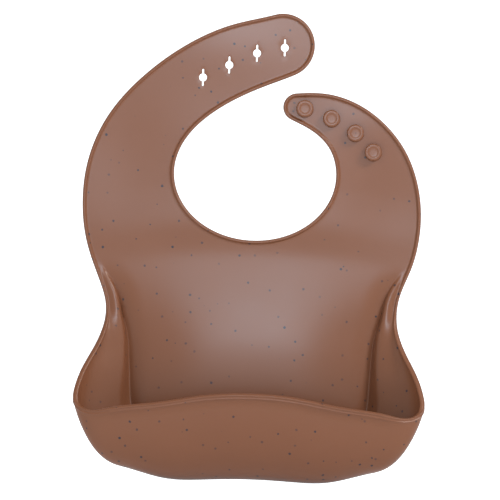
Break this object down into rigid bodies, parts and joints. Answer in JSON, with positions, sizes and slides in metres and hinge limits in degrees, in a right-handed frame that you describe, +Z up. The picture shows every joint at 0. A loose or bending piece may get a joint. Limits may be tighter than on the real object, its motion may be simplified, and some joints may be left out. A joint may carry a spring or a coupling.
{
  "type": "silicone baby bib",
  "caption": "Flexible one-piece bib: chest sheet with beaded edge, deep catch pocket, and two neck straps that snap together with mushroom studs in slit holes.",
  "frame": {"origin": "centre of the neck opening, on the flat back face of the sheet", "axes": "+Z up as worn, -Y out of the front, +X to the right as seen from the front, where the studs are"},
  "size_m": [0.228, 0.0487, 0.3032],
  "materials": {
    "silicone": "soft matt moulded silicone, terracotta brown with sparse dark blue-grey specks",
    "silicone_studs": "soft matt moulded silicone"
  },
  "bodies": {
    "chest": {"chest_panel": "silicone"},
    "hole_arm_1": {"hole_strap_1": "silicone"},
    "hole_arm_2": {"hole_strap_2": "silicone"},
    "hole_arm_3": {"hole_strap_3": "silicone"},
    "hole_arm_4": {"hole_strap_4": "silicone"},
    "hole_arm_5": {"hole_strap_5": "silicone"},
    "hole_arm_6": {"hole_strap_6": "silicone"},
    "hole_arm_7": {"hole_strap_7": "silicone"},
    "stud_arm_1": {"stud_strap_1": "silicone"},
    "stud_arm_2": {"stud_strap_2": "silicone"},
    "stud_arm_3": {"stud_strap_3": "silicone", "stud_1": "silicone_studs"},
    "stud_arm_4": {"stud_strap_4": "silicone", "stud_2": "silicone_studs"},
    "stud_arm_5": {"stud_strap_5": "silicone", "stud_3": "silicone_studs"},
    "stud_arm_6": {"stud_strap_6": "silicone", "stud_4": "silicone_studs"},
    "pocket": {"lower_panel": "silicone", "pocket_floor": "silicone", "pocket_side_left": "silicone", "pocket_side_right": "silicone", "side_rim_left": "silicone", "side_rim_right": "silicone"},
    "pocket_front": {"pocket_front": "silicone", "front_rim": "silicone"}
  },
  "joints": [
    {"name": "hole_strap_wrap", "type": "hinge", "parent": "chest", "child": "hole_arm_1", "pos_m": [0, -0.001, 0], "axis": [-0.8988, 0, -0.4384], "range_deg": [-10, 24], "stiffness_Nm_per_rad": 0.05},
    {"name": "hole_strap_bend_2", "type": "hinge", "parent": "hole_arm_1", "child": "hole_arm_2", "pos_m": [0, -0.001, 0], "axis": [-0.9945, 0, -0.1045], "range_deg": [-10, 24], "stiffness_Nm_per_rad": 0.05},
    {"name": "hole_strap_bend_3", "type": "hinge", "parent": "hole_arm_2", "child": "hole_arm_3", "pos_m": [0, -0.001, 0], "axis": [-0.9703, 0, 0.2419], "range_deg": [-10, 24], "stiffness_Nm_per_rad": 0.05},
    {"name": "hole_strap_bend_4", "type": "hinge", "parent": "hole_arm_3", "child": "hole_arm_4", "pos_m": [0, -0.001, 0], "axis": [-0.766, 0, 0.6428], "range_deg": [-1.5, 3.6], "stiffness_Nm_per_rad": 0.05},
    {"name": "hole_strap_bend_5", "type": "hinge", "parent": "hole_arm_4", "child": "hole_arm_5", "pos_m": [0, -0.001, 0], "axis": [-0.3811, 0, 0.9245], "range_deg": [-1.5, 3.6], "stiffness_Nm_per_rad": 0.05},
    {"name": "hole_strap_bend_6", "type": "hinge", "parent": "hole_arm_5", "child": "hole_arm_6", "pos_m": [0, -0.001, 0], "axis": [-0.1323, 0, 0.9912], "range_deg": [-1.5, 3.6], "stiffness_Nm_per_rad": 0.05},
    {"name": "hole_strap_bend_7", "type": "hinge", "parent": "hole_arm_6", "child": "hole_arm_7", "pos_m": [0, -0.001, 0], "axis": [0.1011, 0, 0.9949], "range_deg": [-1.5, 3.6], "stiffness_Nm_per_rad": 0.05},
    {"name": "stud_strap_wrap", "type": "hinge", "parent": "chest", "child": "stud_arm_1", "pos_m": [0, -0.001, 0], "axis": [-0.8988, 0, 0.4384], "range_deg": [-10, 27], "stiffness_Nm_per_rad": 0.05},
    {"name": "stud_strap_bend_2", "type": "hinge", "parent": "stud_arm_1", "child": "stud_arm_2", "pos_m": [0, -0.001, 0], "axis": [-0.9877, 0, 0.1564], "range_deg": [-10, 27], "stiffness_Nm_per_rad": 0.05},
    {"name": "stud_strap_bend_3", "type": "hinge", "parent": "stud_arm_2", "child": "stud_arm_3", "pos_m": [0, -0.001, 0], "axis": [-0.9945, 0, -0.1045], "range_deg": [-10, 27], "stiffness_Nm_per_rad": 0.05},
    {"name": "stud_strap_bend_4", "type": "hinge", "parent": "stud_arm_3", "child": "stud_arm_4", "pos_m": [0, -0.001, 0], "axis": [-0.9511, 0, -0.309], "range_deg": [-1.5, 4.05], "stiffness_Nm_per_rad": 0.05},
    {"name": "stud_strap_bend_5", "type": "hinge", "parent": "stud_arm_4", "child": "stud_arm_5", "pos_m": [0, -0.001, 0], "axis": [-0.8625, 0, -0.506], "range_deg": [-1.5, 4.05], "stiffness_Nm_per_rad": 0.05},
    {"name": "stud_strap_bend_6", "type": "hinge", "parent": "stud_arm_5", "child": "stud_arm_6", "pos_m": [0, -0.001, 0], "axis": [-0.6972, 0, -0.7169], "range_deg": [-1.5, 4.05], "stiffness_Nm_per_rad": 0.05},
    {"name": "chest_flex", "type": "hinge", "parent": "chest", "child": "pocket", "pos_m": [0, -0.001, -0.074], "axis": [-1, 0, 0], "range_deg": [-25, 40], "stiffness_Nm_per_rad": 0.1},
    {"name": "pocket_open", "type": "hinge", "parent": "pocket", "child": "pocket_front", "pos_m": [0, -0.028, -0.196], "axis": [1, 0, 0], "range_deg": [-6, 14], "stiffness_Nm_per_rad": 0.2}
  ],
  "couplings": [
    {"joint": "hole_strap_bend_2", "follows": "hole_strap_wrap", "ratio": 1},
    {"joint": "hole_strap_bend_3", "follows": "hole_strap_wrap", "ratio": 1},
    {"joint": "hole_strap_bend_4", "follows": "hole_strap_wrap", "ratio": 0.15},
    {"joint": "hole_strap_bend_5", "follows": "hole_strap_wrap", "ratio": 0.15},
    {"joint": "hole_strap_bend_6", "follows": "hole_strap_wrap", "ratio": 0.15},
    {"joint": "hole_strap_bend_7", "follows": "hole_strap_wrap", "ratio": 0.15},
    {"joint": "stud_strap_bend_2", "follows": "stud_strap_wrap", "ratio": 1},
    {"joint": "stud_strap_bend_3", "follows": "stud_strap_wrap", "ratio": 1},
    {"joint": "stud_strap_bend_4", "follows": "stud_strap_wrap", "ratio": 0.15},
    {"joint": "stud_strap_bend_5", "follows": "stud_strap_wrap", "ratio": 0.15},
    {"joint": "stud_strap_bend_6", "follows": "stud_strap_wrap", "ratio": 0.15}
  ]
}
